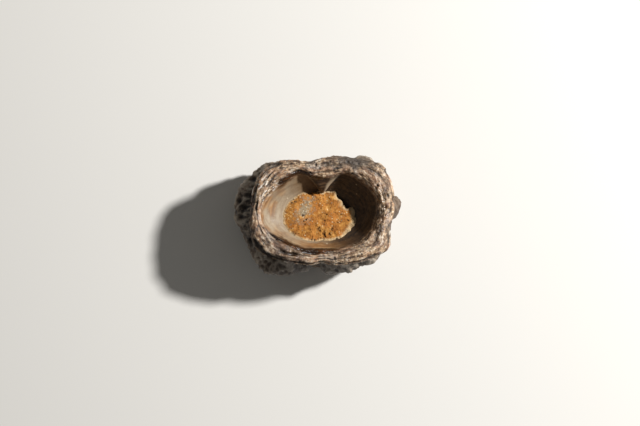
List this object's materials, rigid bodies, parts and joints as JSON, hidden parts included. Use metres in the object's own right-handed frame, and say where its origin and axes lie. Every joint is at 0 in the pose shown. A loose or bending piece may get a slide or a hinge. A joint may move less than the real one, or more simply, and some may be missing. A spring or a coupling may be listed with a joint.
{
  "type": "fossil fish vertebra",
  "caption": "Spool-shaped fossil fish vertebra, broken arches and processes, a deep cup at each end partly filled with ochre sediment.",
  "frame": {"origin": "under the middle of the bone, at the level that its rear rim rests on", "axes": "+X is the picture's right, across the bone; +Y is dorsal, the picture's top; +Z is forward along the backbone, up as it rests"},
  "size_m": [0.0292, 0.0206, 0.0174],
  "materials": {
    "fossil_bone": "matt worn bone with a brown patina on the lips of the cups",
    "ochre_sediment": "rough granular matrix"
  },
  "bodies": {
    "root": {"centrum": "fossil_bone", "front_sediment": "ochre_sediment", "rear_sediment": "ochre_sediment"}
  },
  "joints": []
}
